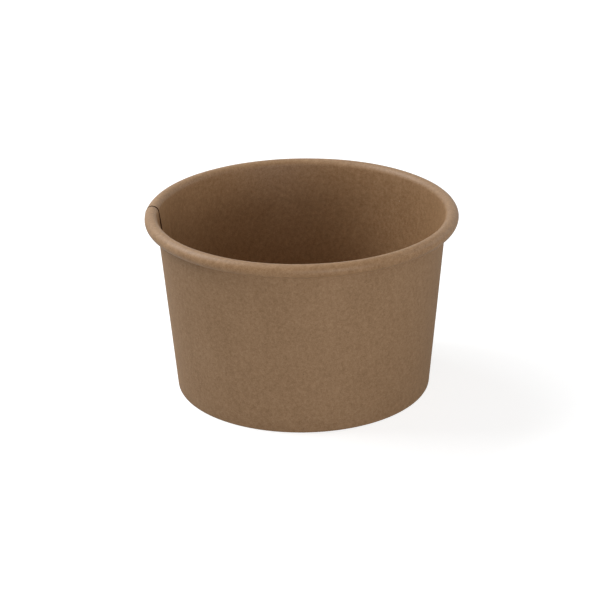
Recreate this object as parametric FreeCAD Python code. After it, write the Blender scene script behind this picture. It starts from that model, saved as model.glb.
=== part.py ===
import FreeCAD, Part
import math
import os

# A squat paper ice cream tub, standing on its foot. The origin is the centre of
# the circle it stands on, +Z is the tub's own axis, and the side seam is near -X.
#
# It is two pieces of board. The side wall is one fan-shaped blank, wrapped into a
# cone and sealed on itself in a lap, with its top edge rolled outwards into a rim
# and its bottom edge folded inwards and up into a hem. The base disc is a pressed
# cap whose skirt is clamped between the wall and that hem.

# Overall sizes, in millimetres.
tub_height = 57.0
rim_diameter = 96.0            # over the outside of the rolled rim
foot_diameter = 79.0           # the wall's outer face, carried down to the table

# Board and coating.
wall_board = 0.40
base_board = 0.35
seal_film = 0.02               # melted coating between two sealed faces

# Rolled rim.
curl_diameter = 4.05
curl_tail_turn = 150.0         # degrees that the board runs on inside its own roll
curl_clearance = 0.03          # between the roll's tail and the lapped wall

# Foot.
fold_radius = 0.12             # inside radius where the hem turns up
hem_height = 5.5               # from the table to the hem's free edge
base_recess = 7.5              # from the table to the underside of the disc
base_bend_radius = 0.30        # inside radius where the disc turns down
skirt_end_gap = 0.5            # from the skirt's edge to the fold under it

# Side seam.
seam_angle = 175.0             # degrees round from +X: the cut edge seen inside
lap_width = 7.0                # at half the tub's height
lap_ramp = 0.8                 # the run in which the lapped board settles back

# The curl's centre, and the slope of the wall that meets it as a tangent.
curl_radius = curl_diameter / 2
curl_r = rim_diameter / 2 - curl_radius
curl_z = tub_height - curl_radius
foot_r = foot_diameter / 2
foot_to_curl = math.hypot(curl_r - foot_r, curl_z)
wall_slope = (math.atan2(curl_r - foot_r, curl_z)
              - math.asin((curl_radius - wall_board) / foot_to_curl))

# Headings in the section, as angles from the outward radius towards +Z.
OUTWARDS = 0.0
UP_THE_WALL = math.pi / 2 - wall_slope
DOWN_THE_WALL = UP_THE_WALL - math.pi

FULL_TURN = 360.0              # degrees


def step_from(point, heading, length):
    """The point a length away, along a heading."""
    return (point[0] + length * math.cos(heading), point[1] + length * math.sin(heading))


def step_right(point, heading, length):
    """The point a length to the right of a heading."""
    return step_from(point, heading - math.pi / 2, length)


def vector(point):
    """A section point (radius, height) in the XZ plane."""
    return FreeCAD.Vector(point[0], 0, point[1])


def face_edges(start, heading, moves, offset):
    """Edges of the sheet's face that lies an offset to the right of its path.

    Each move is a straight run (length, 0) or a bend (radius, turn), with the
    radius measured on the path itself and a left turn positive.
    """
    point = step_right(start, heading, offset)
    edges = []
    for size, turn in moves:
        if turn == 0:
            end = step_from(point, heading, size)
            edges.append(Part.LineSegment(vector(point), vector(end)).toShape())
        else:
            side = math.copysign(1, turn)
            radius = size + side * offset
            centre = step_right(point, heading, -side * radius)
            middle = step_right(centre, heading + turn / 2, side * radius)
            end = step_right(centre, heading + turn, side * radius)
            edges.append(Part.Arc(vector(point), vector(middle), vector(end)).toShape())
            heading += turn
        point = end
    return edges


def sheet_section(start, heading, moves, near, far):
    """Closed outline of a bent sheet between two offsets from its path."""
    near_face = face_edges(start, heading, moves, near)
    far_face = face_edges(start, heading, moves, far)
    first_end = Part.LineSegment(far_face[0].Vertexes[0].Point, near_face[0].Vertexes[0].Point)
    last_end = Part.LineSegment(near_face[-1].Vertexes[-1].Point, far_face[-1].Vertexes[-1].Point)
    outline = near_face + [last_end.toShape()] + far_face[::-1] + [first_end.toShape()]
    return Part.Wire(outline)


def turned_to(shape, angle):
    """A copy of a section, turned about the tub's axis by degrees."""
    copy = shape.copy()
    copy.rotate(FreeCAD.Vector(0, 0, 0), FreeCAD.Vector(0, 0, 1), angle)
    return copy


def swept(section, first_angle, last_angle):
    """The solid that a section makes from one angle round to another."""
    face = Part.Face(turned_to(section, first_angle))
    return face.revolve(FreeCAD.Vector(0, 0, 0), FreeCAD.Vector(0, 0, 1), last_angle - first_angle)


def blended(first_section, first_angle, last_section, last_angle):
    """The solid that runs straight from one section to another of the same edges."""
    ends = [turned_to(first_section, first_angle), turned_to(last_section, last_angle)]
    return Part.makeLoft(ends, True, True)


def wall_face_point(depth, height):
    """The point at a height on the line that lies a depth in from the wall's outer face."""
    corner = step_right((foot_r, 0), UP_THE_WALL, -depth)
    return step_from(corner, UP_THE_WALL, (height - corner[1]) / math.cos(wall_slope))


def wall_section(near, far, lift):
    """The wall's section, from the hem's free edge round the foot and up into the curl.

    The path is the face that looks into the tub. near and far are the depths of
    the sheet's two faces behind it, and lift raises the fold, so that a second
    thickness of board fits under it.
    """
    clamp = base_board + 2 * seal_film
    fold_z = wall_board + lift
    land = (clamp - 2 * fold_radius) / math.cos(wall_slope)
    fold_out_turn = math.pi / 2 + wall_slope
    fold_up_turn = math.pi / 2 - wall_slope
    start = wall_face_point(wall_board + clamp, hem_height)
    wall_foot = wall_face_point(wall_board, fold_z)
    hem_foot = wall_face_point(wall_board + clamp, fold_z)
    hem_run = ((start[1] - hem_foot[1]) / math.cos(wall_slope)
               - fold_radius * math.tan(fold_out_turn / 2))
    touch = step_right((curl_r, curl_z), UP_THE_WALL, -curl_radius)
    wall_run = (math.hypot(touch[0] - wall_foot[0], touch[1] - wall_foot[1])
                - fold_radius * math.tan(fold_up_turn / 2))
    tail_radius = curl_radius - 2 * wall_board - curl_clearance
    moves = [
        (hem_run, 0),
        (fold_radius, fold_out_turn),
        (land, 0),
        (fold_radius, fold_up_turn),
        (wall_run, 0),
        (curl_radius, -(math.pi + UP_THE_WALL)),
        (tail_radius, -math.radians(curl_tail_turn)),
    ]
    return sheet_section(start, DOWN_THE_WALL, moves, near, far)


def make_side_wall():
    """The wrapped blank: one thickness all round, two in the lap, a short ramp at each side."""
    single = wall_section(0, wall_board, 0)
    lapped = wall_section(0, 2 * wall_board, wall_board)
    under_lap = wall_section(0, wall_board, wall_board)
    over_lap = wall_section(wall_board, 2 * wall_board, wall_board)

    mid_radius = wall_face_point(wall_board, tub_height / 2)[0]
    lap_angle = math.degrees(lap_width / mid_radius)
    ramp_angle = math.degrees(lap_ramp / mid_radius)
    lap_start = seam_angle - lap_angle
    settle_start = lap_start - ramp_angle
    ramp_end = seam_angle + ramp_angle

    settle = blended(single, settle_start, under_lap, lap_start)
    lap = swept(lapped, lap_start, seam_angle)
    ramp = blended(over_lap, seam_angle, single, ramp_end)
    round_wall = swept(single, ramp_end, settle_start + FULL_TURN)
    return round_wall.fuse([settle, lap, ramp]).removeSplitter()


def make_base_disc():
    """The pressed disc: flat inside, with a skirt bent down along the wall."""
    floor_z = base_recess + base_board
    outer_bend = base_bend_radius + base_board
    bend_turn = math.pi / 2 + wall_slope
    corner = wall_face_point(wall_board + seal_film, floor_z)
    set_back = outer_bend * math.tan(bend_turn / 2)
    skirt_end_z = 2 * wall_board + skirt_end_gap
    skirt_run = (floor_z - skirt_end_z) / math.cos(wall_slope) - set_back
    moves = [
        (corner[0] - set_back, 0),
        (outer_bend, -bend_turn),
        (skirt_run, 0),
    ]
    section = sheet_section((0, floor_z), OUTWARDS, moves, 0, base_board)
    return swept(section, 0, FULL_TURN)


pieces = {
    "side_wall": make_side_wall(),
    "base_disc": make_base_disc(),
}

os.makedirs("parts", exist_ok=True)
for name, shape in pieces.items():
    solid = shape.Solids[0]
    box = solid.BoundBox
    print(f"{name}: valid {shape.isValid()}, {len(shape.Solids)} solid, {len(shape.Faces)} faces, "
          f"volume {shape.Volume:.1f} mm3, x {box.XMin:.3f} to {box.XMax:.3f}, "
          f"z {box.ZMin:.3f} to {box.ZMax:.3f}")
    solid.exportStep(f"parts/{name}.step")
print(f"wall slope {math.degrees(wall_slope):.3f} degrees")
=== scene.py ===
import logging
import math
from dataclasses import dataclass
from enum import Enum
from typing import Any, Sequence

import bpy
from mathutils import Matrix, Vector


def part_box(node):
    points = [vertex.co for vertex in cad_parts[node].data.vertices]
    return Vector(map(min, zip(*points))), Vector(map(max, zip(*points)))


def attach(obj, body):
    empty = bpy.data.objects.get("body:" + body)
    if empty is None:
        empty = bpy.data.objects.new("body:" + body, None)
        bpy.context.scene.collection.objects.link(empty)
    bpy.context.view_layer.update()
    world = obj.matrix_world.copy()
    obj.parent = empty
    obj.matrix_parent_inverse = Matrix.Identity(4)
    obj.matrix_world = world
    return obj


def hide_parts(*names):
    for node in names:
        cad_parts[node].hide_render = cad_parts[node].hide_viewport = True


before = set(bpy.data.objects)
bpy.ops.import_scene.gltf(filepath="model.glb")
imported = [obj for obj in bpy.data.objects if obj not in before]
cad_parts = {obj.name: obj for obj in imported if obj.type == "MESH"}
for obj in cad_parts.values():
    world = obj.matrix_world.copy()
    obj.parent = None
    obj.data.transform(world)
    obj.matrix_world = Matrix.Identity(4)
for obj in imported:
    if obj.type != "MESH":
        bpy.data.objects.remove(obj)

# A squat kraft-paper ice cream tub: one wrapped and lapped side wall, rolled over at
# the rim and hemmed at the foot, and one pressed base disc held in that hem.
# Lengths are in metres, and the tub stands on its foot with +Z as its own axis.

LOG = logging.getLogger("paper_tub")
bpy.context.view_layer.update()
BODY = "root"
SHEET_UV = "sheet_uv"
HALF_TURN = math.pi
QUARTER_TURN = math.pi / 2
FULL_TURN = 2 * math.pi


class Layer(Enum):
    """The per-point values that a section line carries into the wrapped sheet."""

    RUN = "run"
    FACING = "facing"
    PROUD = "proud"
    LIFT = "lift"
    PRESS = "press"
    LOOSE = "loose"
    SWELL = "swell"


class LampKind(Enum):
    """The studio lamps, each with a job."""

    KEY = "left_key"
    TOP = "back_top"
    FRONT = "front_fill"
    SIDE = "front_right_fill"
    RIM = "right_rim"


def share(value: float, start: float, end: float) -> float:
    """Finds how far a value lies from a start towards an end, held between 0 and 1."""
    return min(max((value - start) / (end - start), 0.0), 1.0)


@dataclass(frozen=True)
class TubSizes:
    """Driving sizes of the tub's two pieces."""

    rim_diameter: float
    height: float
    foot_diameter: float = 0.079
    wall_board: float = 0.0004
    base_board: float = 0.00035
    seal_film: float = 0.00002
    curl_diameter: float = 0.00405
    curl_tail_turn: float = math.radians(150)
    curl_clearance: float = 0.00003
    fold_radius: float = 0.00012
    hem_height: float = 0.0055
    base_recess: float = 0.0075
    base_bend_radius: float = 0.0003
    skirt_end_gap: float = 0.0005
    seam_angle: float = math.radians(175)
    lap_width: float = 0.007

    @property
    def curl_radius(self) -> float:
        """Outside radius of the rolled rim's section."""
        return self.curl_diameter / 2

    @property
    def curl_centre(self) -> Vector:
        """Centre of the roll in the section plane, as (radius, height)."""
        return Vector((self.rim_diameter / 2 - self.curl_radius, self.height - self.curl_radius))

    @property
    def slope(self) -> float:
        """How far the wall leans outwards, in radians."""
        out = self.curl_centre.x - self.foot_diameter / 2
        reach = math.hypot(out, self.curl_centre.y)
        tangent = math.asin((self.curl_radius - self.wall_board) / reach)
        return math.atan2(out, self.curl_centre.y) - tangent

    @property
    def clamp(self) -> float:
        """Gap between wall and hem, which the base disc's skirt fills."""
        return self.base_board + 2 * self.seal_film

    @property
    def mid_radius(self) -> float:
        """Radius of the wall's inner face at half the tub's height."""
        return self.face_point(self.wall_board, self.height / 2).x

    @property
    def lap_angle(self) -> float:
        """Angle round the tub that the lap covers."""
        return self.lap_width / self.mid_radius

    def face_point(self, depth: float, height: float) -> Vector:
        """Finds a point on a line parallel to the wall.

        Args:
            depth: how far the line lies in from the wall's outer face.
            height: the point's height above the table.

        Returns:
            The point as (radius, height).
        """
        radius = self.foot_diameter / 2 - depth / math.cos(self.slope) + height * math.tan(self.slope)
        return Vector((radius, height))


class SectionLine:
    """A line in the section plane, drawn by straight runs and bends, with its layers."""

    def __init__(self, start: Vector, heading: float) -> None:
        """Starts the line.

        Args:
            start: first point, as (radius, height).
            heading: direction of travel, from the outward radius towards +Z.
        """
        self.heading = heading
        self.points = [start.copy()]
        self.headings = [heading]

    def run(self, length: float, steps: int) -> "SectionLine":
        """Draws a straight run.

        Args:
            length: length of the run.
            steps: number of equal steps in it.

        Returns:
            The line itself.
        """
        self.headings[-1] = self.heading
        start = self.points[-1]
        ahead = Vector((math.cos(self.heading), math.sin(self.heading)))
        for step in range(1, steps + 1):
            self.points.append(start + ahead * (length * step / steps))
            self.headings.append(self.heading)
        return self

    def bend(self, radius: float, turn: float, steps: int) -> "SectionLine":
        """Draws a bend that leaves the line as a tangent.

        Args:
            radius: radius of the bend on this line.
            turn: angle turned, positive to the left.
            steps: number of equal steps in it.

        Returns:
            The line itself.
        """
        side = math.copysign(1, turn)
        towards_centre = self.heading + side * QUARTER_TURN
        start = self.points[-1]
        centre = start + Vector((math.cos(towards_centre), math.sin(towards_centre))) * radius
        for step in range(1, steps + 1):
            angle = turn * step / steps
            spoke = start - centre
            turned = Matrix.Rotation(angle, 2) @ spoke
            self.points.append(centre + turned)
            self.headings.append(self.heading + angle)
        self.heading += turn
        return self

    def runs(self) -> list[float]:
        """Measures along the line.

        Returns:
            The distance from the start at each point.
        """
        total = [0.0]
        for here, after in zip(self.points, self.points[1:]):
            total.append(total[-1] + (after - here).length)
        return total

    def to_object(self, name: str, layers: dict[Layer, Sequence[float]]) -> bpy.types.Object:
        """Makes the line a mesh of edges that carries its layers.

        Args:
            name: name of the new object.
            layers: one number for each point, by layer.

        Returns:
            The new object, linked to the scene.
        """
        mesh = bpy.data.meshes.new(name)
        corners = [(point.x, 0.0, point.y) for point in self.points]
        edges = [(index, index + 1) for index in range(len(corners) - 1)]
        mesh.from_pydata(corners, edges, [])
        values = {Layer.RUN: self.runs(), **layers}
        for layer, numbers in values.items():
            data = mesh.attributes.new(layer.value, "FLOAT", "POINT").data
            data.foreach_set("value", list(numbers))
        facing = mesh.attributes.new(Layer.FACING.value, "FLOAT_VECTOR", "POINT").data
        for index, heading in enumerate(self.headings):
            facing[index].vector = (-math.sin(heading), 0.0, math.cos(heading))
        piece = bpy.data.objects.new(name, mesh)
        bpy.context.scene.collection.objects.link(piece)
        return piece


class NodeSketch:
    """Adds nodes to one tree and joins them."""

    def __init__(self, tree: bpy.types.NodeTree) -> None:
        """Takes over an empty tree.

        Args:
            tree: the node tree to draw in.
        """
        self.tree = tree

    def add(self, kind: str, inputs: dict[Any, Any] | None = None, **settings: Any) -> bpy.types.Node:
        """Adds a node.

        Args:
            kind: the node's type name.
            inputs: a value or a socket for each input, by name or index.
            settings: the node's own options.

        Returns:
            The new node.
        """
        node = self.tree.nodes.new(kind)
        for option, value in settings.items():
            setattr(node, option, value)
        for key, value in (inputs or {}).items():
            if isinstance(value, bpy.types.NodeSocket):
                self.tree.links.new(value, node.inputs[key])
            else:
                node.inputs[key].default_value = value
        return node

    def math(self, operation: str, *values: Any, clamp: bool = False) -> bpy.types.NodeSocket:
        """Adds a Math node and gives its result."""
        node = self.add("ShaderNodeMath", dict(enumerate(values)), operation=operation, use_clamp=clamp)
        return node.outputs[0]

    def vector(self, operation: str, *values: Any) -> bpy.types.NodeSocket:
        """Adds a Vector Math node.

        Args:
            operation: the node's operation.
            values: its inputs in turn, of which SCALE takes a number as its second.

        Returns:
            The vector that it works out.
        """
        slots = {}
        for index, value in enumerate(values):
            slots["Scale" if operation == "SCALE" and index == 1 else index] = value
        return self.add("ShaderNodeVectorMath", slots, operation=operation).outputs[0]

    def ramp(self, value: Any, low: float | Any, high: float | Any, start: float = 0.0,
             end: float = 1.0, smooth: bool = True) -> bpy.types.NodeSocket:
        """Maps a value between two limits, with soft ends if asked.

        Args:
            value: the number to map.
            low: the value that gives start.
            high: the value that gives end.
            start: result at low.
            end: result at high.
            smooth: whether the ends are eased.

        Returns:
            The mapped number.
        """
        kind = "SMOOTHSTEP" if smooth else "LINEAR"
        slots = {"Value": value, "From Min": low, "From Max": high, "To Min": start, "To Max": end}
        return self.add("ShaderNodeMapRange", slots, interpolation_type=kind).outputs["Result"]

    def swing(self, value: Any, weight: float) -> bpy.types.NodeSocket:
        """Centres a noise on nought and gives it a weight."""
        return self.math("MULTIPLY", self.math("SUBTRACT", value, 0.5), weight)

    def noise(self, where: Any, scale: float | Any, detail: float,
              roughness: float = 0.5) -> bpy.types.NodeSocket:
        """Adds a Noise Texture and gives its number, about 0.5 on average."""
        slots = {"Vector": where, "Scale": scale, "Detail": detail, "Roughness": roughness}
        return self.add("ShaderNodeTexNoise", slots).outputs[0]


class WrapTree:
    """The node tree that wraps a flat grid round the tub's axis along a section line."""

    FLOATS = ("First Angle", "Sweep", "Crowding", "Board", "Lap", "Settle", "Groove", "Dive", "Swell",
              "Swell Reach", "Press Depth", "Wave", "Wave Scale", "Oval")
    WHOLES = ("Columns", "Presses")
    MERGE_DISTANCE = 1e-6
    WAVE_DETAIL = 1.5
    SHARP_ANGLE = math.radians(50)

    # A rib's flanks lie within this height of nought on its wave.
    RIB_FLANK = 0.5

    def __init__(self) -> None:
        """Builds the tree once, for every sheet to share."""
        self.tree = bpy.data.node_groups.new("wrap_board", "GeometryNodeTree")
        face = self.tree.interface
        face.new_socket("Geometry", in_out="INPUT", socket_type="NodeSocketGeometry")
        for name in self.FLOATS:
            face.new_socket(name, in_out="INPUT", socket_type="NodeSocketFloat")
        for name in self.WHOLES:
            face.new_socket(name, in_out="INPUT", socket_type="NodeSocketInt")
        face.new_socket("Material", in_out="INPUT", socket_type="NodeSocketMaterial")
        face.new_socket("Geometry", in_out="OUTPUT", socket_type="NodeSocketGeometry")
        self.pen = NodeSketch(self.tree)
        self.given = self.pen.add("NodeGroupInput").outputs
        self._draw()

    def _draw(self) -> None:
        """Draws the nodes, from the flat grid to the dressed sheet."""
        pen = self.pen
        rows = pen.add("GeometryNodeAttributeDomainSize", {0: self.given["Geometry"]},
                       component="MESH").outputs["Point Count"]
        grid = pen.add("GeometryNodeMeshGrid",
                       {"Vertices X": self.given["Columns"], "Vertices Y": rows})
        flat = pen.add("ShaderNodeSeparateXYZ", {0: pen.add("GeometryNodeInputPosition").outputs[0]})
        across = pen.math("ADD", flat.outputs[0], 0.5)
        along = pen.math("ADD", flat.outputs[1], 0.5)
        row = pen.math("ROUND", pen.math("MULTIPLY", along, pen.math("SUBTRACT", rows, 1)))

        turned = self._turned(across)
        angle = pen.math("ADD", turned, self.given["First Angle"])
        place = self._at_row(row, None, "FLOAT_VECTOR")
        facing = self._at_row(row, Layer.FACING, "FLOAT_VECTOR")
        lapped, lift = self._lap(row, turned)
        offset = pen.math("ADD", lapped, self._relief(row, place, angle))
        moved = pen.vector("ADD", place, pen.vector("SCALE", facing, offset))
        raised = pen.vector("ADD", moved, pen.add("ShaderNodeCombineXYZ", {2: lift}).outputs[0])
        final = pen.vector("MULTIPLY", self._spun(raised, angle), self._widening(angle))

        # The flat sheet's own coordinates, in metres, stay with it.
        reach = pen.add("ShaderNodeSeparateXYZ", {0: place}).outputs[0]
        unrolled = pen.add("ShaderNodeCombineXYZ", {0: pen.math("MULTIPLY", turned, reach),
                                                    1: self._at_row(row, Layer.RUN)}).outputs[0]
        stored = pen.add("GeometryNodeStoreNamedAttribute",
                         {"Geometry": grid.outputs["Mesh"], "Name": SHEET_UV, "Value": unrolled},
                         data_type="FLOAT2", domain="CORNER").outputs[0]
        shaped = pen.add("GeometryNodeSetPosition", {"Geometry": stored, "Position": final}).outputs[0]
        joined = pen.add("GeometryNodeMergeByDistance",
                         {"Geometry": shaped, "Distance": self.MERGE_DISTANCE}).outputs[0]
        turned_out = pen.add("GeometryNodeFlipFaces", {0: joined}).outputs[0]
        smooth = pen.add("GeometryNodeSetShadeSmooth", {0: turned_out}).outputs[0]
        real = pen.add("GeometryNodeRealizeInstances", {0: smooth}).outputs[0]
        dressed = pen.add("GeometryNodeSetMaterial",
                          {0: real, "Material": self.given["Material"]}).outputs[0]
        pen.add("NodeGroupOutput", {0: dressed})

    def _at_row(self, row: bpy.types.NodeSocket, layer: Layer | None,
                kind: str = "FLOAT") -> bpy.types.NodeSocket:
        """Reads from the section line's own point at a row of the grid.

        Args:
            row: the grid's row.
            layer: the layer to read, or nothing for the point's place.
            kind: its data type.

        Returns:
            What the section holds there.
        """
        if layer is None:
            source = self.pen.add("GeometryNodeInputPosition").outputs[0]
        else:
            source = self.pen.add("GeometryNodeInputNamedAttribute", {"Name": layer.value},
                                  data_type=kind).outputs[0]
        slots = {"Geometry": self.given["Geometry"], "Value": source, "Index": row}
        return self.pen.add("GeometryNodeSampleIndex", slots, data_type=kind, domain="POINT").outputs[0]

    def _turned(self, across: bpy.types.NodeSocket) -> bpy.types.NodeSocket:
        """Spaces the columns, crowded towards both ends of the sheet, where the lap needs them.

        Args:
            across: the column's share of the grid, from 0 to 1.

        Returns:
            The angle from the sheet's first end.
        """
        pen = self.pen
        swing = pen.math("SINE", pen.math("MULTIPLY", across, FULL_TURN))
        bunch = pen.math("MULTIPLY", swing, pen.math("DIVIDE", self.given["Crowding"], FULL_TURN))
        return pen.math("MULTIPLY", pen.math("SUBTRACT", across, bunch), self.given["Sweep"])

    def _lap(self, row: bpy.types.NodeSocket,
             turned: bpy.types.NodeSocket) -> tuple[bpy.types.NodeSocket, bpy.types.NodeSocket]:
        """Keeps the sheet's two ends clear of each other where they overlap.

        The last end lies over the first: it stands proud and settles slowly. The first is
        pushed back and comes up round like a fingertip, just past a narrow groove, where
        it swells a little.

        Args:
            row: the grid's row.
            turned: the angle from the sheet's first end.

        Returns:
            The offset along the sheet's facing, and the height that it is lifted.
        """
        pen, given = self.pen, self.given
        proud = self._at_row(row, Layer.PROUD)
        remaining = pen.math("SUBTRACT", given["Sweep"], turned)
        settled = pen.math("ADD", given["Lap"], given["Settle"])
        inner = pen.ramp(remaining, given["Lap"], settled, 1.0, 0.0)

        groove_end = pen.math("ADD", given["Lap"], given["Groove"])
        dive_end = pen.math("ADD", groove_end, given["Dive"])
        below = pen.ramp(turned, groove_end, dive_end, 1.0, 0.0, smooth=False)
        round_off = pen.math("SQRT", pen.math("SUBTRACT", 1.0, pen.math("MULTIPLY", below, below)))
        outer = pen.math("SUBTRACT", 1.0, round_off)
        back = pen.math("MULTIPLY", outer, pen.math("SUBTRACT", proud, 1.0))
        share = pen.math("ADD", pen.math("MULTIPLY", inner, proud), back)
        lapped = pen.math("MULTIPLY", share, given["Board"])

        swell_end = pen.math("ADD", groove_end, given["Swell Reach"])
        near_groove = pen.math("MULTIPLY", pen.ramp(turned, groove_end, swell_end, 1.0, 0.0), round_off)
        swollen = pen.math("MULTIPLY", near_groove, self._at_row(row, Layer.SWELL))
        offset = pen.math("ADD", lapped, pen.math("MULTIPLY", swollen, given["Swell"]))

        either = pen.math("MAXIMUM", inner, outer)
        lifted = pen.math("MULTIPLY", either, self._at_row(row, Layer.LIFT))
        return offset, pen.math("MULTIPLY", lifted, given["Board"])

    def _relief(self, row: bpy.types.NodeSocket, place: bpy.types.NodeSocket,
                angle: bpy.types.NodeSocket) -> bpy.types.NodeSocket:
        """Presses ribs into the sheet, and lets it wander slowly where nothing supports it.

        Args:
            row: the grid's row.
            place: the section's point in the XZ plane.
            angle: the angle round the tub.

        Returns:
            The offset along the sheet's facing.
        """
        pen, given = self.pen, self.given
        rib = pen.math("COSINE", pen.math("MULTIPLY", angle, given["Presses"]))
        crest = pen.ramp(rib, -self.RIB_FLANK, self.RIB_FLANK)
        depth = pen.math("MULTIPLY", crest, given["Press Depth"])
        pressed = pen.math("MULTIPLY", depth, self._at_row(row, Layer.PRESS))
        noise = pen.noise(self._spun(place, angle), given["Wave Scale"], self.WAVE_DETAIL)
        wander = pen.swing(noise, given["Wave"])
        waved = pen.math("MULTIPLY", wander, self._at_row(row, Layer.LOOSE))
        return pen.math("SUBTRACT", waved, pressed)

    def _spun(self, place: bpy.types.NodeSocket, angle: bpy.types.NodeSocket) -> bpy.types.NodeSocket:
        """Turns a place round the tub's axis."""
        slots = {"Vector": place, "Angle": angle}
        return self.pen.add("ShaderNodeVectorRotate", slots, rotation_type="Z_AXIS").outputs[0]

    def _widening(self, angle: bpy.types.NodeSocket) -> bpy.types.NodeSocket:
        """Makes the tub a little oval, wider along X than along Y.

        Args:
            angle: the angle round the tub.

        Returns:
            The factors that widen a place there.
        """
        wide = self.pen.math("COSINE", self.pen.math("MULTIPLY", angle, 2.0))
        widen = self.pen.math("ADD", self.pen.math("MULTIPLY", wide, self.given["Oval"]), 1.0)
        return self.pen.add("ShaderNodeCombineXYZ", {0: widen, 1: widen, 2: 1.0}).outputs[0]

    def wrap(self, line: bpy.types.Object, thickness: float, materials: Sequence[bpy.types.Material],
             **inputs: float) -> None:
        """Turns a section line into a closed sheet of board, as a plain mesh.

        Args:
            line: the section line's object, which becomes the sheet.
            thickness: the sheet's thickness, laid behind the face that the line draws.
            materials: the finish of the face that the line draws, of its back and of the cut edges.
            inputs: the tree's inputs, with underscores for spaces.
        """
        # Solidify counts the object's own slots, and the grid's empty one comes before the rest.
        for material in (None, *materials):
            line.data.materials.append(material)
        modifier = line.modifiers.new("wrap", "NODES")
        modifier.node_group = self.tree
        named = {key.replace("_", " ").title(): value for key, value in inputs.items()}
        named["Material"] = materials[0]
        for item in self.tree.interface.items_tree:
            if item.in_out == "INPUT" and item.name in named:
                modifier[item.identifier] = named.pop(item.name)
        assert not named, f"the tree has no input {sorted(named)}"
        thick = line.modifiers.new("board", "SOLIDIFY")
        thick.thickness = thickness
        thick.offset = -1.0
        thick.use_even_offset = False
        thick.use_rim = True
        thick.material_offset = 1
        thick.material_offset_rim = 2
        depsgraph = bpy.context.evaluated_depsgraph_get()
        evaluated = line.evaluated_get(depsgraph)
        result = bpy.data.meshes.new_from_object(evaluated, preserve_all_data_layers=True,
                                                 depsgraph=depsgraph)
        line.modifiers.clear()
        old = line.data
        line.data = result
        bpy.data.meshes.remove(old)
        result.name = line.name

        # Without that empty slot, the faces' slots start at nought.
        slots = [face.material_index for face in result.polygons]
        result.materials.clear()
        for material in materials:
            result.materials.append(material)
        first = min(slots)
        result.polygons.foreach_set("material_index", [slot - first for slot in slots])
        result.set_sharp_from_angle(angle=self.SHARP_ANGLE)


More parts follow.
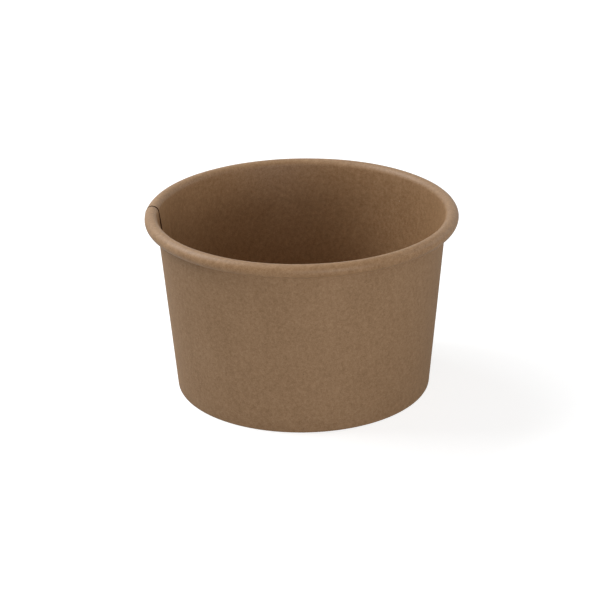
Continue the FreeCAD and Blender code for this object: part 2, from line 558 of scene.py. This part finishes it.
@dataclass(frozen=True)
class KraftFinish:
    """Unbleached kraft board: mottled tone, short fibres, faint streaks, dark specks and pale flecks."""

    name: str
    tone: tuple[float, float, float]
    dark: tuple[float, float, float]
    light: tuple[float, float, float]
    roughness: float
    specular: float

    cloud_scale: float = 70.0
    cloud_detail: float = 2.0
    cloud_weight: float = 0.4
    mottle_scale: float = 900.0
    mottle_detail: float = 4.0
    mottle_grit: float = 0.62
    mottle_weight: float = 1.5
    mottle_roughness: float = 0.25
    grain_scale: float = 3200.0
    grain_detail: float = 2.0
    grain_weight: float = 1.0
    streak_scale: tuple[float, float, float] = (420.0, 9.0, 1.0)
    streak_detail: float = 3.0
    streak_grit: float = 0.6
    streak_weight: float = 0.3

    fibre_length: float = 0.0022
    fibre_width: float = 0.00016
    fibre_leans: tuple[float, ...] = (0.2, 1.1, 2.0, 2.7)
    fibre_shift: tuple[float, float] = (0.31, 0.17)
    fibre_detail: float = 1.0
    fibre_weight: float = 0.45

    speck: tuple[float, float, float] = (0.10, 0.055, 0.03)
    fleck: tuple[float, float, float] = (0.60, 0.45, 0.31)
    fleck_share: float = 0.35
    spot_scale: float = 380.0
    spot_share: float = 0.14
    spot_size: float = 0.11
    spot_strength: float = 0.45

    bump_height: float = 0.00002
    bump_strength: float = 0.5
    grain_relief: float = 0.6
    fibre_relief: float = 0.8

    def material(self) -> bpy.types.Material:
        """Builds the finish.

        Returns:
            A node-based material on the piece's own coordinates.
        """
        material = bpy.data.materials.new(self.name)
        material.use_nodes = True
        material.node_tree.nodes.clear()
        pen = NodeSketch(material.node_tree)
        coordinates = pen.add("ShaderNodeTexCoord").outputs["Object"]
        sheet = pen.add("ShaderNodeUVMap", uv_map=SHEET_UV).outputs[0]
        cloud = pen.noise(coordinates, self.cloud_scale, self.cloud_detail)
        mottle = pen.noise(coordinates, self.mottle_scale, self.mottle_detail, self.mottle_grit)
        grain = pen.noise(coordinates, self.grain_scale, self.grain_detail)
        fibres = self._fibres(pen, sheet)

        tone = pen.math("ADD", pen.swing(cloud, self.cloud_weight),
                        pen.swing(mottle, self.mottle_weight))
        tone = pen.math("ADD", tone, pen.swing(grain, self.grain_weight))
        tone = pen.math("ADD", tone, pen.swing(self._streak(pen, sheet), self.streak_weight))
        tone = pen.math("ADD", tone, pen.math("MULTIPLY", fibres, self.fibre_weight))
        colour = self._spotted(pen, coordinates, self._shade(pen, tone))

        rough = pen.math("ADD", pen.swing(mottle, self.mottle_roughness), self.roughness)
        relief = pen.math("ADD", pen.math("MULTIPLY", grain, self.grain_relief),
                          pen.math("MULTIPLY", fibres, self.fibre_relief))
        bump = pen.add("ShaderNodeBump", {"Height": relief, "Strength": self.bump_strength,
                                          "Distance": self.bump_height}).outputs[0]
        shader = pen.add("ShaderNodeBsdfPrincipled", {
            "Base Color": colour, "Roughness": rough,
            "Specular IOR Level": self.specular, "Normal": bump})
        pen.add("ShaderNodeOutputMaterial", {"Surface": shader.outputs[0]})
        return material

    def _fibres(self, pen: NodeSketch, sheet: bpy.types.NodeSocket) -> bpy.types.NodeSocket:
        """Lays long thin strands across the sheet, at several leans.

        Args:
            pen: what draws in the material's tree.
            sheet: the flat sheet's coordinates.

        Returns:
            The strands' sum, about nought on average.
        """
        fibres = None
        for index, lean in enumerate(self.fibre_leans):
            shift = (self.fibre_shift[0] * index, self.fibre_shift[1] * index, 0.0)
            place = pen.add("ShaderNodeMapping", {
                "Vector": sheet, "Location": shift, "Rotation": (0.0, 0.0, lean),
                "Scale": (self.fibre_width, self.fibre_length, 1.0)}, vector_type="TEXTURE").outputs[0]
            strand = pen.swing(pen.noise(place, 1.0, self.fibre_detail), 1.0)
            fibres = strand if fibres is None else pen.math("ADD", fibres, strand)
        return fibres

    def _streak(self, pen: NodeSketch, sheet: bpy.types.NodeSocket) -> bpy.types.NodeSocket:
        """Draws the faint streaks that the paper machine leaves up the sheet."""
        place = pen.add("ShaderNodeMapping", {"Vector": sheet, "Scale": self.streak_scale}).outputs[0]
        return pen.noise(place, 1.0, self.streak_detail, self.streak_grit)

    def _shade(self, pen: NodeSketch, tone: bpy.types.NodeSocket) -> bpy.types.NodeSocket:
        """Turns the summed patterns into the board's colour.

        Args:
            pen: what draws in the material's tree.
            tone: the summed patterns, about nought on average.

        Returns:
            A colour between the dark and the light one, with the plain tone in the middle.
        """
        balance = pen.math("ADD", tone, 0.5, clamp=True)
        shade = pen.add("ShaderNodeValToRGB", {"Fac": balance})
        stops = shade.color_ramp.elements
        stops[0].position, stops[0].color = 0.0, (*self.dark, 1.0)
        stops[1].position, stops[1].color = 1.0, (*self.light, 1.0)
        middle = stops.new(0.5)
        middle.color = (*self.tone, 1.0)
        return shade.outputs[0]

    def _spotted(self, pen: NodeSketch, coordinates: bpy.types.NodeSocket,
                 shade: bpy.types.NodeSocket) -> bpy.types.NodeSocket:
        """Scatters dark specks and pale flecks.

        Args:
            pen: what draws in the material's tree.
            coordinates: the piece's own coordinates.
            shade: the board's colour.

        Returns:
            The colour with its spots.
        """
        cells = pen.add("ShaderNodeTexVoronoi", {"Vector": coordinates, "Scale": self.spot_scale,
                                                 "Randomness": 1.0}).outputs
        chance = pen.add("ShaderNodeSeparateColor", {0: cells["Color"]}).outputs
        size = pen.ramp(chance[0], 1.0 - self.spot_share, 1.0, 0.0, self.spot_size, smooth=False)
        inside = pen.math("LESS_THAN", cells["Distance"], size)
        pale = pen.math("LESS_THAN", chance[1], self.fleck_share)
        spot = pen.add("ShaderNodeMix",
                       {"Factor": pale, "A": (*self.speck, 1.0), "B": (*self.fleck, 1.0)},
                       data_type="RGBA").outputs["Result"]
        factor = pen.math("MULTIPLY", inside, self.spot_strength)
        return pen.add("ShaderNodeMix", {"Factor": factor, "A": shade, "B": spot},
                       data_type="RGBA").outputs["Result"]


class TubPiece:
    """What both pieces share: how they ride and what they replace."""

    def __init__(self, sizes: TubSizes, wrapper: WrapTree, node: str, slot: str) -> None:
        """Keeps what the piece is made from.

        Args:
            sizes: the tub's driving sizes.
            wrapper: the tree that wraps its board.
            node: the solid that it stands for.
            slot: a name for its finish's slot, kept but not used.
        """
        self.sizes = sizes
        self.wrapper = wrapper
        self.node = node
        self.slot = slot

    def dress(self, piece: bpy.types.Object) -> bpy.types.Object:
        """Ties a finished piece to the frame.

        Args:
            piece: the finished object.

        Returns:
            The same object.
        """
        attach(piece, BODY)
        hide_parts(self.node)
        return piece


class SideWall(TubPiece):
    """The lapped side wall, from its hem up to the tail of its rolled rim."""

    COLUMNS = 720
    HEM_STEPS = 7
    FOLD_STEPS = 5
    WALL_STEPS = 13
    ROLL_STEPS = 22
    TAIL_STEPS = 8

    # How far a row's heading may be off the wall's own and still count as wall.
    HEADING_SLACK = 0.01

    # Between the two boards in the lap.
    LAP_CLEARANCE = 0.00002

    # The hem's ribs, and how far they stay from its free edge and from the fold.
    RIBS = 100
    RIB_START = 0.0004
    RIB_END = 0.0012

    # How much of a board's thickness the lap's last end stands proud, on the wall and on
    # the roll, and the run below the roll in which the one passes into the other.
    WALL_SHARE = 0.7
    ROLL_SHARE = 0.0
    CHANGE_REACH = 0.005

    # The run above the hem in which the wall gets free to wander.
    FREE_REACH = 0.012

    # The headings on the roll between which the swell at the seam grows.
    SWELL_START = 0.5
    SWELL_FULL = -0.3

    def __init__(self, sizes: TubSizes, wrapper: WrapTree) -> None:
        """Names the solid and the slot."""
        super().__init__(sizes, wrapper, "side_wall", "wall_board")

    def line(self) -> SectionLine:
        """Draws the face that looks into the tub, from the hem's edge to the roll's tail.

        Returns:
            The wall's section line.
        """
        sizes = self.sizes
        up = QUARTER_TURN - sizes.slope
        out_turn = QUARTER_TURN + sizes.slope
        up_turn = QUARTER_TURN - sizes.slope
        start = sizes.face_point(sizes.wall_board + sizes.clamp, sizes.hem_height)
        hem_run = ((sizes.hem_height - sizes.wall_board) / math.cos(sizes.slope)
                   - sizes.fold_radius * math.tan(out_turn / 2))
        land = (sizes.clamp - 2 * sizes.fold_radius) / math.cos(sizes.slope)
        foot = sizes.face_point(sizes.wall_board, sizes.wall_board)
        centre = sizes.curl_centre
        touch = centre + sizes.curl_radius * Vector((-math.sin(up), math.cos(up)))
        wall_run = (touch - foot).length - sizes.fold_radius * math.tan(up_turn / 2)
        tail_radius = sizes.curl_radius - 2 * sizes.wall_board - sizes.curl_clearance
        line = SectionLine(start, up - HALF_TURN)
        line.run(hem_run, self.HEM_STEPS).bend(sizes.fold_radius, out_turn, self.FOLD_STEPS)
        line.run(land, 1).bend(sizes.fold_radius, up_turn, self.FOLD_STEPS)
        line.run(wall_run, self.WALL_STEPS)
        line.bend(sizes.curl_radius, -(HALF_TURN + up), self.ROLL_STEPS)
        line.bend(tail_radius, -sizes.curl_tail_turn, self.TAIL_STEPS)
        return line

    def layers(self, line: SectionLine) -> dict[Layer, list[float]]:
        """Works out how each row of the wall behaves in the lap, the hem and the open.

        Args:
            line: the wall's section line.

        Returns:
            One number for each row, by layer.
        """
        sizes = self.sizes
        runs = line.runs()
        hem_end = sizes.hem_height
        upright = QUARTER_TURN - sizes.slope
        steepest = upright - self.HEADING_SLACK
        wall_end = max(run for run, heading in zip(runs, line.headings) if heading > steepest)
        rows = {Layer.PROUD: [], Layer.LIFT: [], Layer.PRESS: [], Layer.LOOSE: [], Layer.SWELL: []}
        for run, heading in zip(runs, line.headings):
            in_hem = run < hem_end - sizes.wall_board
            ribbed = in_hem and self.RIB_START < run < hem_end - self.RIB_END
            free = 0.0 if in_hem else share(run, hem_end, hem_end + self.FREE_REACH)
            rolled = share(run, wall_end - self.CHANGE_REACH, wall_end)
            outward = share(heading, self.SWELL_START, self.SWELL_FULL) if rolled == 1.0 else 0.0
            rows[Layer.PROUD].append(self.WALL_SHARE + (self.ROLL_SHARE - self.WALL_SHARE) * rolled)
            rows[Layer.LIFT].append((1.0 - self.WALL_SHARE) * (1.0 - free))
            rows[Layer.PRESS].append(1.0 if ribbed else 0.0)
            rows[Layer.LOOSE].append(free)
            rows[Layer.SWELL].append(outward)
        return rows

    def build(self, materials: Sequence[bpy.types.Material]) -> bpy.types.Object:
        """Wraps the wall.

        Args:
            materials: the finishes of the coated face, the raw face and the cut edge.

        Returns:
            The finished wall.
        """
        sizes = self.sizes
        line = self.line()
        piece = line.to_object("wrapped_side_wall", self.layers(line))
        self.wrapper.wrap(piece, sizes.wall_board, materials, columns=self.COLUMNS,
                          first_angle=sizes.seam_angle - sizes.lap_angle,
                          sweep=FULL_TURN + sizes.lap_angle, crowding=0.75,
                          board=sizes.wall_board + self.LAP_CLEARANCE, lap=sizes.lap_angle,
                          settle=math.radians(4.0), groove=math.radians(0.25), dive=math.radians(1.7),
                          swell=0.00012, swell_reach=math.radians(4.5),
                          presses=self.RIBS, press_depth=0.00012,
                          wave=0.00012, wave_scale=55.0, oval=0.0006)
        return self.dress(piece)


class BaseDisc(TubPiece):
    """The pressed base disc with its skirt turned down along the wall."""

    COLUMNS = 361
    PUCKERS = 72
    FLOOR_STEPS = 18
    BEND_STEPS = 8
    SKIRT_STEPS = 6
    FREE_REACH = 0.008

    def __init__(self, sizes: TubSizes, wrapper: WrapTree) -> None:
        """Names the solid and the slot."""
        super().__init__(sizes, wrapper, "base_disc", "base_board")

    def line(self) -> SectionLine:
        """Draws the disc's upper face, from the middle to the skirt's edge.

        Returns:
            The disc's section line.
        """
        sizes = self.sizes
        floor = sizes.base_recess + sizes.base_board
        bend = sizes.base_bend_radius + sizes.base_board
        turn = QUARTER_TURN + sizes.slope
        corner = sizes.face_point(sizes.wall_board + sizes.seal_film, floor)
        set_back = bend * math.tan(turn / 2)
        skirt = (floor - 2 * sizes.wall_board - sizes.skirt_end_gap) / math.cos(sizes.slope) - set_back
        line = SectionLine(Vector((0.0, floor)), 0.0)
        line.run(corner.x - set_back, self.FLOOR_STEPS)
        line.bend(bend, -turn, self.BEND_STEPS)
        line.run(skirt, self.SKIRT_STEPS)
        return line

    def layers(self, line: SectionLine) -> dict[Layer, list[float]]:
        """Works out where the disc puckers and where it may wander.

        Args:
            line: the disc's section line.

        Returns:
            One number for each row, by layer.
        """
        rows = range(len(line.points))
        zeros = [0.0 for _ in rows]
        last_bend_row = self.FLOOR_STEPS + self.BEND_STEPS
        pressed = [1.0 if self.FLOOR_STEPS < row <= last_bend_row else 0.0 for row in rows]
        edge = line.points[self.FLOOR_STEPS].x
        loose = [share(point.x, edge, edge - self.FREE_REACH) for point in line.points]
        return {Layer.PROUD: zeros, Layer.LIFT: zeros, Layer.PRESS: pressed, Layer.LOOSE: loose,
                Layer.SWELL: zeros}

    def build(self, materials: Sequence[bpy.types.Material]) -> bpy.types.Object:
        """Presses the disc.

        Args:
            materials: the finishes of the coated face, the raw face and the cut edge.

        Returns:
            The finished disc.
        """
        sizes = self.sizes
        line = self.line()
        piece = line.to_object("pressed_base_disc", self.layers(line))
        self.wrapper.wrap(piece, sizes.base_board, materials, columns=self.COLUMNS,
                          first_angle=0.0, sweep=FULL_TURN, crowding=0.0,
                          board=0.0, lap=-1.0, settle=0.1, groove=0.0, dive=0.1,
                          swell=0.0, swell_reach=0.1,
                          presses=self.PUCKERS, press_depth=0.00006,
                          wave=0.00025, wave_scale=40.0, oval=0.0)
        return self.dress(piece)


@dataclass(frozen=True)
class Lamp:
    """One soft rectangular lamp that looks at the tub."""

    kind: LampKind
    place: tuple[float, float, float]
    width: float
    depth: float
    watts: float
    colour: tuple[float, float, float] = (1.0, 1.0, 1.0)
    aim: tuple[float, float, float] = (0.0, 0.0, 0.03)

    def build(self) -> None:
        """Hangs the lamp."""
        light = bpy.data.lights.new(self.kind.value, "AREA")
        light.shape = "RECTANGLE"
        light.size = self.width
        light.size_y = self.depth
        light.energy = self.watts
        light.color = self.colour
        lamp = bpy.data.objects.new(self.kind.value, light)
        lamp.location = self.place
        towards = Vector(self.aim) - Vector(self.place)
        lamp.rotation_euler = towards.to_track_quat("-Z", "Y").to_euler()
        bpy.context.scene.collection.objects.link(lamp)


@dataclass(frozen=True)
class Studio:
    """A white table under soft lamps, with the camera of the photograph."""

    target: tuple[float, float, float] = (-0.000849, 0.0, 0.026464)
    distance: float = 0.6506
    elevation: float = math.radians(23.082)
    roll: float = math.radians(0.806)
    lens_mm: float = 125.3
    sensor_mm: float = 36.0
    table_half: float = 3.0
    table_drop: float = 0.00002
    world_level: float = 0.2
    floor_glow: float = 0.75
    floor_gloss: float = 0.15
    floor_tone: float = 0.55
    lamps: tuple[Lamp, ...] = (
        Lamp(LampKind.KEY, (-0.6, 0.12, 0.6), 0.5, 0.5, 4.4, (0.98, 1.0, 1.02)),
        Lamp(LampKind.TOP, (-0.4, 0.35, 0.75), 0.4, 0.4, 2.3, (0.95, 1.0, 1.04)),
        Lamp(LampKind.FRONT, (0.08, -0.9, 0.2), 0.5, 0.5, 1.5, (1.04, 1.0, 0.95)),
        Lamp(LampKind.SIDE, (0.4, -0.8, 0.11), 0.4, 0.2, 1.9),
        Lamp(LampKind.RIM, (0.7, 0.2, 0.35), 0.3, 0.3, 0.8, (1.0, 0.98, 0.94)),
    )

    def build_camera(self) -> None:
        """Sets up the camera at the photograph's angle, distance and slight roll."""
        data = bpy.data.cameras.new("photo_camera")
        data.lens = self.lens_mm
        data.sensor_width = self.sensor_mm
        data.sensor_fit = "HORIZONTAL"
        camera = bpy.data.objects.new("photo_camera", data)
        right = Vector((1.0, 0.0, 0.0))
        upward = Vector((0.0, math.sin(self.elevation), math.cos(self.elevation)))
        back = Vector((0.0, -math.cos(self.elevation), math.sin(self.elevation)))
        across = right * math.cos(self.roll) - upward * math.sin(self.roll)
        along = right * math.sin(self.roll) + upward * math.cos(self.roll)
        place = Vector(self.target) + back * self.distance
        camera.matrix_world = Matrix((across, along, back)).transposed().to_4x4()
        camera.location = place
        bpy.context.scene.collection.objects.link(camera)
        bpy.context.scene.camera = camera

    def build_world(self) -> None:
        """Fills the room with even light, and shows it as white to the eye and in gloss."""
        world = bpy.data.worlds.new("studio_room")
        world.use_nodes = True
        world.node_tree.nodes.clear()
        pen = NodeSketch(world.node_tree)
        path = pen.add("ShaderNodeLightPath").outputs
        direct = pen.math("MAXIMUM", path["Is Camera Ray"], path["Is Transmission Ray"])
        seen = pen.math("MAXIMUM", direct, path["Is Glossy Ray"])
        room = pen.add("ShaderNodeBackground", {"Color": (1, 1, 1, 1), "Strength": self.world_level})
        white = pen.add("ShaderNodeBackground", {"Color": (1, 1, 1, 1), "Strength": 1.0})
        both = pen.add("ShaderNodeMixShader", {0: seen, 1: room.outputs[0], 2: white.outputs[0]})
        pen.add("ShaderNodeOutputWorld", {"Surface": both.outputs[0]})
        bpy.context.scene.world = world

    def build_floor(self) -> None:
        """Lays a pale table that shows as white and keeps the tub's shadow."""
        half = self.table_half
        below = -self.table_drop
        mesh = bpy.data.meshes.new("pale_table")
        corners = [(-half, -half, below), (half, -half, below),
                   (half, half, below), (-half, half, below)]
        mesh.from_pydata(corners, [], [(0, 1, 2, 3)])
        material = bpy.data.materials.new("pale_table")
        material.use_nodes = True
        material.node_tree.nodes.clear()
        pen = NodeSketch(material.node_tree)
        path = pen.add("ShaderNodeLightPath").outputs
        direct = pen.math("MAXIMUM", path["Is Camera Ray"], path["Is Transmission Ray"])
        in_gloss = pen.math("MULTIPLY", path["Is Glossy Ray"], self.floor_gloss)
        level = pen.math("MAXIMUM", pen.math("MULTIPLY", direct, self.floor_glow), in_gloss)
        tone = (self.floor_tone, self.floor_tone, self.floor_tone, 1.0)
        matt = pen.add("ShaderNodeBsdfDiffuse", {"Color": tone})
        glow = pen.add("ShaderNodeEmission", {"Strength": level})
        both = pen.add("ShaderNodeAddShader", {0: matt.outputs[0], 1: glow.outputs[0]})
        pen.add("ShaderNodeOutputMaterial", {"Surface": both.outputs[0]})
        mesh.materials.append(material)
        floor = bpy.data.objects.new("pale_table", mesh)
        bpy.context.scene.collection.objects.link(floor)

    def build(self) -> None:
        """Builds the camera, the room, the table and the lamps."""
        bpy.context.scene.view_settings.view_transform = "Standard"
        self.build_camera()
        self.build_world()
        self.build_floor()
        for lamp in self.lamps:
            lamp.build()
        LOG.info("studio: %d lamps", len(self.lamps))


def main() -> None:
    """Builds the studio and the tub's pieces, and logs the sizes read off the side wall's solid and each
    piece's triangles.
    """
    logging.basicConfig(level=logging.INFO, format="%(name)s: %(message)s")
    Studio().build()
    low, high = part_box("side_wall")
    sizes = TubSizes(rim_diameter=round(high[0] - low[0], 4), height=round(high[2] - low[2], 4))
    LOG.info("rim %.4f m, height %.4f m, slope %.3f degrees", sizes.rim_diameter, sizes.height,
             math.degrees(sizes.slope))
    coated = KraftFinish("coated_kraft", tone=(0.32, 0.185, 0.090), dark=(0.238, 0.130, 0.056),
                         light=(0.408, 0.248, 0.131), roughness=0.5, specular=0.4).material()
    raw = KraftFinish("raw_kraft", tone=(0.31, 0.188, 0.101), dark=(0.245, 0.142, 0.070),
                      light=(0.38, 0.238, 0.134), roughness=0.75, specular=0.3).material()
    # The cut edges are painted a near-black brown, far darker than the board. This is partly a darker
    # sealed edge and partly painted shade for the seam's narrow groove, and it goes on every cut edge.
    edge = KraftFinish("kraft_cut_edge_painted_shade", tone=(0.055, 0.022, 0.010), dark=(0.040, 0.016, 0.007),
                       light=(0.075, 0.032, 0.016), roughness=0.9, specular=0.1).material()
    wrapper = WrapTree()
    for part in (SideWall(sizes, wrapper), BaseDisc(sizes, wrapper)):
        piece = part.build((coated, raw, edge))
        triangles = sum(len(face.vertices) - 2 for face in piece.data.polygons)
        LOG.info("%s: %d triangles, stands for %s", piece.name, triangles, part.node)


if __name__ == "__main__":
    main()
